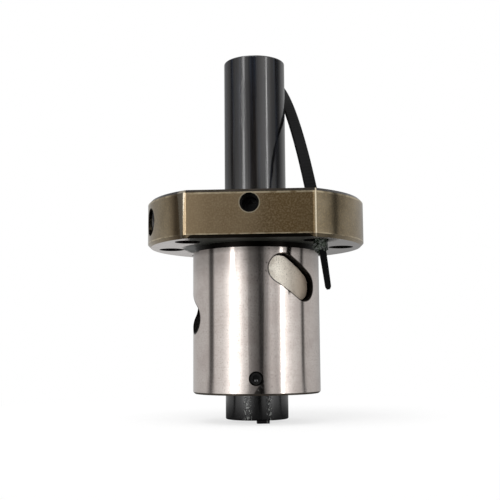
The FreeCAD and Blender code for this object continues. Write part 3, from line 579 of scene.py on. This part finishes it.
def nut_steel():
    """Ground steel with fine lines round the axis, and dark scale where no wheel has reached."""
    material, tree, surface, where = new_finish(
        "ground_steel", Anisotropic=0.75, Anisotropic_Rotation=0.25
    )
    zones = nut_zones(tree, where)
    on_flat = less(tree, 1.0, zones["on_rim"])
    mottle, fine = speckle(tree, where, 260, 5.0, 0.65), speckle(tree, where, 2600, 2.0)
    lines = drawn_out(tree, where, (60, 60, 9000))
    clouds, pits = speckle(tree, where, 260, 4.0, 0.6), speckle(tree, where, 4200, 3.0, 0.7)
    dirt_and_shade = face_dirt_and_shade(tree, zones, mottle)
    # Painted shade: the mounting face darker towards the right.
    oil_film_and_shade = both(
        tree, zones["level_face"], step_up(tree, zones["z"], 1 * MM, 0.5 * MM),
        step_up(tree, zones["x"], -9 * MM, 10 * MM), 0.6,
    )
    steel = lay_over(
        tree, paint(226, 217, 211),
        (step_up(tree, clouds, 0.35, 0.7), paint(214, 203, 197)),
        (step_up(tree, lines, 0.5, 0.8), paint(210, 200, 193)),
        (step_up(tree, pits, 0.5, 0.75), paint(184, 173, 166)),
        *grease_and_shade_on_barrel(tree, zones),
        (oil_film_and_shade, paint(104, 102, 96)),
        # The mounting face's painted shade and grease, dull and not metallic.
        (dirt_and_shade, paint(46, 48, 41)),
        *slot_lips(tree, where),
    )
    colour = lay_over(
        tree, paint(16, 15, 14),
        (clouds, paint(30, 27, 25)),
        (zones["nose_edge"], paint(150, 140, 128)),
        (zones["bright"], steel),
        (zones["flange_edge"], bronze_tint(tree, zones, mottle, fine)),
    )
    dull = less(tree, 1.0, either(tree, zones["bright"], zones["flange_edge"]))
    rough = total(
        tree, 0.1, both(tree, clouds, 0.08),
        both(tree, zones["flange_edge"], on_flat, 0.22),
        both(tree, zones["flange_edge"], zones["on_rim"], 0.06), both(tree, dull, 0.3),
        both(tree, dirt_and_shade, 0.35),
    )
    height = total(tree, both(tree, lines, 0.5), both(tree, pits, 0.5))
    finish_off(tree, surface, colour, rough, height, bump=0.12, depth=0.03 * MM)
    tree.links.new(less(tree, 1.0, both(tree, dirt_and_shade, 0.8)), surface.inputs["Metallic"])
    turned = add_node(tree, "Tangent", direction_type="RADIAL", axis="Z")
    tree.links.new(turned.outputs[0], surface.inputs["Tangent"])
    return material


dress("nut_body", nut_steel())


# Deflectors. Three case-hardened inserts that lead the balls over to the turn above. They are
# moulded and sintered, blasted to a pale satin, and pressed into their slots from outside.
def deflector_steel(circuit):
    """Satin steel with painted light, paler at the left and darker to the right, darker round the
    edge, with stains and a fine grain.
    """
    material, tree, surface, where = new_finish(
        "satin_steel_%d" % (circuit + 1), Metallic=0.5, Roughness=0.5
    )
    along, across, out = slot_place(tree, where, circuit)
    rightward = total(
        tree, both(tree, along, math.cos(SLOT_SLANT)), both(tree, across, math.sin(SLOT_SLANT))
    )
    clouds = speckle(tree, where, 300, 4.0, 0.6)
    grain = speckle(tree, where, 6000, 2.0, 0.6)
    edge = slot_edge(tree, along, across)
    behind = step_up(tree, out, BARREL_RADIUS - 2.5 * MM, BARREL_RADIUS - 3.5 * MM)
    # Painted light: pale at the left, painted shade to the right and on the part deep behind the
    # barrel.
    colour = lay_over(
        tree, paint(255, 249, 236),
        (step_up(tree, rightward, -5 * MM, 5 * MM), paint(186, 170, 152)),
        (both(tree, step_up(tree, clouds, 0.45, 0.75), 0.55), paint(172, 157, 138)),
        (step_up(tree, grain, 0.56, 0.7), paint(140, 126, 110)),
        (step_up(tree, edge, -0.32 * MM, -0.2 * MM), paint(36, 29, 22)),
        (behind, paint(70, 64, 58)),
    )
    finish_off(tree, surface, colour, height=grain, bump=0.2, depth=0.02 * MM)
    return material


for circuit in range(CIRCUITS):
    dress("deflector_%d" % (circuit + 1), deflector_steel(circuit))


# Balls. Sixteen balls of hard bearing steel run in each loop. They are lapped to a mirror finish
# and wet with the oil that the nut is packed in.
def ball_steel():
    """Polished steel under a thin uneven film of oil."""
    material, tree, surface, where = new_finish(
        "polished_balls", Metallic=1.0, Roughness=0.08, Coat_Weight=0.5, Coat_Roughness=0.04
    )
    oil_film_and_shade = speckle(tree, where, 900, 3.0)
    finish_off(tree, surface, mix_colours(tree, oil_film_and_shade, paint(214, 212, 208), paint(176, 170, 160)))
    return material


polished = ball_steel()
for node in frame["nodes"]:
    if node.startswith("ball_"):
        dress(node, polished)


# Wipers. A moulded nylon ring sits in a recess at each end of the bore. It keeps dirt out and the
# grease in.
def wiper_nylon():
    """Cream nylon with a little depth to it and a fine moulded grain."""
    material, tree, surface, where = new_finish(
        "wiper_nylon", Roughness=0.45, Subsurface_Weight=0.15, Subsurface_Scale=0.6 * MM
    )
    clouds, grain = speckle(tree, where, 400, 3.0), speckle(tree, where, 5000, 2.0)
    colour = mix_colours(tree, clouds, paint(228, 224, 210), paint(206, 200, 182))
    finish_off(tree, surface, colour, height=grain, bump=0.15, depth=0.02 * MM)
    return material


nylon = wiper_nylon()
for node in ("flange_wiper", "nose_wiper"):
    dress(node, nylon)


# Wiper screws. Small steel set screws with a hexagon socket, blackened by oxide. One is screwed in
# from the front flat and one from the barrel, and they hold the wipers from turning.
def black_oxide():
    """Black steel with two painted glints in the nose screw's socket."""
    material, tree, surface, where = new_finish(
        "black_oxide", Metallic=0.4, Roughness=0.35, Coat_Weight=0.3, Coat_Roughness=0.1
    )
    clouds = speckle(tree, where, 1500, 3.0)
    socket = middle_of("nose_wiper_screw")
    x, _, z = add_node(tree, "SeparateXYZ", {0: where}).outputs
    aside = calc(tree, "ABSOLUTE", less(tree, x, socket.x))
    socket_glints = both(
        tree, between(tree, aside, 0.14 * MM, 0.32 * MM, 0.05 * MM),
        between(tree, less(tree, socket.z, z), 0.3 * MM, 0.6 * MM, 0.08 * MM),
    )
    colour = lay_over(
        tree, paint(12, 12, 13), (clouds, paint(26, 25, 24)), (socket_glints, paint(235, 235, 235))
    )
    finish_off(tree, surface, colour, height=clouds, bump=0.3, depth=0.03 * MM)
    return material


oxide = black_oxide()
for node in ("flange_wiper_screw", "nose_wiper_screw"):
    dress(node, oxide)


# Threads. The oil port and the hole of the flange's wiper screw are tapped in the nut's steel. One
# ridge each is wound down the wall of the plain hole.
def thread_ridge(name, mouth, inward, top, wall, crest, pitch, length):
    """A closed ridge on a helix: point = mouth + inward * depth + (cos t, sin t) * distance.

    Depth grows with the angle by a pitch a turn. The section is a trapezoid from the wall to the
    crest, which sinks into the wall over the first and the last half turn.
    """
    per_turn = 48
    into_wall = 0.03 * MM
    half_root, half_tip = 0.42 * pitch, 0.07 * pitch
    steps = int(per_turn * length / pitch) + 1
    turn = np.arange(steps) * math.tau / per_turn
    from_end = np.clip(np.minimum(turn, turn[-1] - turn) / math.pi, 0, 1)
    root = np.full(steps, wall + into_wall)
    tip = wall + (crest - wall) * from_end**2 * (3 - 2 * from_end)
    out = np.stack([root, tip, tip, root], axis=1)
    shift = np.array([-half_root, -half_tip, half_tip, half_root])
    along = (turn / math.tau * pitch)[:, None] + shift
    inward, top = np.array(inward, float), np.array(top, float)
    side = np.cross(inward, top)
    around = np.cos(turn)[:, None, None] * side + np.sin(turn)[:, None, None] * top
    points = np.array(mouth) + out[..., None] * around + along[..., None] * inward
    step, corner = np.meshgrid(np.arange(steps - 1), np.arange(4), indexing="ij")
    first, over = step * 4 + corner, step * 4 + (corner + 1) % 4
    faces = np.stack([first, first + 4, over + 4, over], axis=-1).reshape(-1, 4).tolist()
    last = 4 * (steps - 1)
    faces += [[0, 1, 2, 3], [last + 3, last + 2, last + 1, last]]
    ridge = new_piece(name, points.reshape(-1, 3), faces)
    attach(ridge, "nut")
    return ridge


def thread_steel(name, dark, light, roughness):
    """Cut steel, clouded between two tones."""
    material, tree, surface, where = new_finish(name, Metallic=1.0, Roughness=roughness)
    clouds = speckle(tree, where, 1200, 3.0)
    finish_off(tree, surface, mix_colours(tree, clouds, dark, light))
    return material


port = mounts["oil_port"]
port_out = np.array(port["axis"], float)
port_place = np.array(port["pos_m"], float)
port_setback = 0.9 * MM
port_mouth = port_place + port_out * (FLANGE_RADIUS - port_setback - np.hypot(*port_place[:2]))
port_thread = thread_ridge(
    "port_thread", port_mouth, -port_out, top=(0, 0, 1), wall=port["dims"]["r_mm"] * MM,
    crest=2.5 * MM, pitch=1 * MM, length=6.2 * MM,
)
port_thread.data.materials.append(
    thread_steel("port_thread_steel", paint(70, 70, 72), paint(120, 120, 122), roughness=0.25)
)

hole_setback = 0.7 * MM
hole_mouth = (0, hole_setback - FLAT, middle_of("flange_wiper_screw").z)
hole_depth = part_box("flange_wiper_screw")[0][1] + FLAT
hole_thread = thread_ridge(
    "wiper_screw_thread", hole_mouth, (0, 1, 0), top=(0, 0, 1), wall=SCREW_HOLE_RADIUS,
    crest=1.65 * MM, pitch=0.7 * MM, length=hole_depth - hole_setback - 0.4 * MM,
)
# The thread in the screw's hole is painted near black: painted shade.
hole_thread.data.materials.append(
    thread_steel("shaded_thread_steel", paint(14, 14, 14), paint(28, 27, 26), roughness=0.5)
)


# Mandrel. A black extruded tube that keeps the balls in the nut until it is slid off onto its
# screw. It is glossy with fine lengthwise streaks, and its lower end is wet with grease.
def mandrel_plastic():
    """Streaked black plastic, with grease below the nut and dried specks of oil high up."""
    material, tree, surface, where = new_finish("mandrel_plastic", Specular_IOR_Level=1.0)
    x, y, z = add_node(tree, "SeparateXYZ", {0: where}).outputs
    on_front = step_up(tree, y, 0, -1 * MM)
    streaks = drawn_out(tree, where, (1500, 1500, 25))
    clouds = drawn_out(tree, where, (300, 300, 60))
    tints = drawn_out(tree, where, (700, 700, 20))
    wet = step_up(tree, z, NOSE + 1 * MM, NOSE - 0.5 * MM)

    # Two runs of grease down the front of the wet end, with small painted glints on them.
    runs = either(
        tree, between(tree, x, -2.2 * MM, -0.9 * MM, 0.4 * MM),
        between(tree, x, 2.6 * MM, 3.5 * MM, 0.3 * MM),
    )
    grease = drawn_out(tree, where, (2600, 2600, 1500))
    lumps = both(tree, wet, runs, on_front, step_up(tree, grease, 0.5, 0.56))
    grease_glints = both(tree, lumps, step_up(tree, grease, 0.56, 0.6))
    colour = lay_over(
        tree, paint(5, 6, 9),
        (step_up(tree, streaks, 0.3, 0.7), paint(26, 23, 22)),
        (step_up(tree, tints, 0.5, 0.66), paint(27, 31, 39)),
        (wet, paint(6, 6, 7)),
        (grease_glints, paint(135, 137, 135)),
    )
    rough = total(tree, 0.07, both(tree, clouds, 0.1))
    specks = both(
        tree, between(tree, x, -4 * MM, -2 * MM, 1 * MM), between(tree, z, 28 * MM, 35 * MM, 4 * MM),
        on_front, speckle(tree, where, 3500, 2.0),
    )
    height = total(tree, both(tree, streaks, 0.6), lumps, specks)
    finish_off(tree, surface, colour, rough, height, bump=0.4, depth=0.09 * MM)
    return material


dress("mandrel", mandrel_plastic())


# Cable tie. A black nylon tie through the front right bolt hole. Its strap has fine ribs across
# the inner side that the pawl in the head bites on.
def tie_nylon(ribs_per_turn=420):
    """Black nylon; the ribs follow the angle about the axis that the strap is bent round."""
    material, tree, surface, where = new_finish("tie_nylon", Roughness=0.5, Specular_IOR_Level=0.06)
    joints = frame["record"]["behaviour"]["joints"]
    bend = next(joint for joint in joints if joint["name"] == "tie_draw")
    axis = Vector(bend["axis"]).normalized()
    first = Vector((0, 0, 1)).cross(axis).normalized()
    offset = vector_calc(tree, "SUBTRACT", where, Vector(bend["pos_m"]))
    along, across = [
        measure(tree, "DOT_PRODUCT", offset, direction) for direction in (first, axis.cross(first))
    ]
    angle = calc(tree, "ARCTAN2", across, along)
    ribs = calc(tree, "SINE", both(tree, angle, ribs_per_turn))
    grain = speckle(tree, where, 2500, 3.0)
    colour = mix_colours(tree, grain, paint(3, 3, 4), paint(10, 10, 11))
    height = total(tree, both(tree, ribs, 0.5), both(tree, grain, 0.3))
    finish_off(tree, surface, colour, height=height, bump=0.3, depth=0.06 * MM)
    return material


dress("cable_tie", tie_nylon())


# Tie grease. A lump of old grease, dark with pale painted glints, that has gathered where the tie
# leaves the mounting face. It sticks to the nut.
def tie_grease(centre, size, rows=40, columns=64):
    """A lumpy ball: point = centre + size * direction * (1 + waves round it), over both angles."""
    tilt, turn = np.meshgrid(
        np.linspace(0, math.pi, rows)[1:-1], np.linspace(0, math.tau, columns, False), indexing="ij"
    )
    waves = 0.12 * np.sin(5 * turn + 3 * tilt) + 0.1 * np.sin(9 * turn - 7 * tilt)
    waves = (waves + 0.07 * np.sin(13 * tilt + 4 * turn)) * np.sin(tilt)
    direction = np.stack([np.sin(tilt) * np.cos(turn), np.sin(tilt) * np.sin(turn), np.cos(tilt)], -1)
    skin = np.array(centre) + np.array(size) * direction * (1 + waves)[..., None]
    poles = np.array(centre) + np.array(size) * np.array([[0, 0, 1], [0, 0, -1]])
    points = np.concatenate([skin.reshape(-1, 3), poles])
    top, bottom = len(points) - 2, len(points) - 1
    row, column = np.meshgrid(np.arange(rows - 3), np.arange(columns), indexing="ij")
    first, over = row * columns + column, row * columns + (column + 1) % columns
    quads = np.stack([first, first + columns, over + columns, over], axis=-1).reshape(-1, 4)
    ring = np.arange(columns)
    beside, last = (ring + 1) % columns, top - columns
    upper_fan = np.stack([np.full(columns, top), ring, beside], axis=-1)
    lower_fan = np.stack([last + ring, np.full(columns, bottom), last + beside], axis=-1)
    lump = new_piece("tie_grease", points, quads.tolist() + upper_fan.tolist() + lower_fan.tolist())
    lump.data.shade_smooth()
    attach(lump, "nut")
    return lump


def old_grease():
    """Dark greenish grease with softly blended pale painted glints."""
    material, tree, surface, where = new_finish("old_grease", Roughness=0.25, Specular_IOR_Level=0.5)
    grit_and_glints = step_up(tree, speckle(tree, where, 900, 3.0, 0.6), 0.4, 0.8)
    finish_off(tree, surface, mix_colours(tree, grit_and_glints, paint(18, 22, 17), paint(74, 84, 72)))
    return material


lump = tie_grease(
    centre=(14.4 * MM, -14.7 * MM, -1.2 * MM), size=(1.4 * MM, 1.1 * MM, 1.9 * MM)
)
lump.data.materials.append(old_grease())
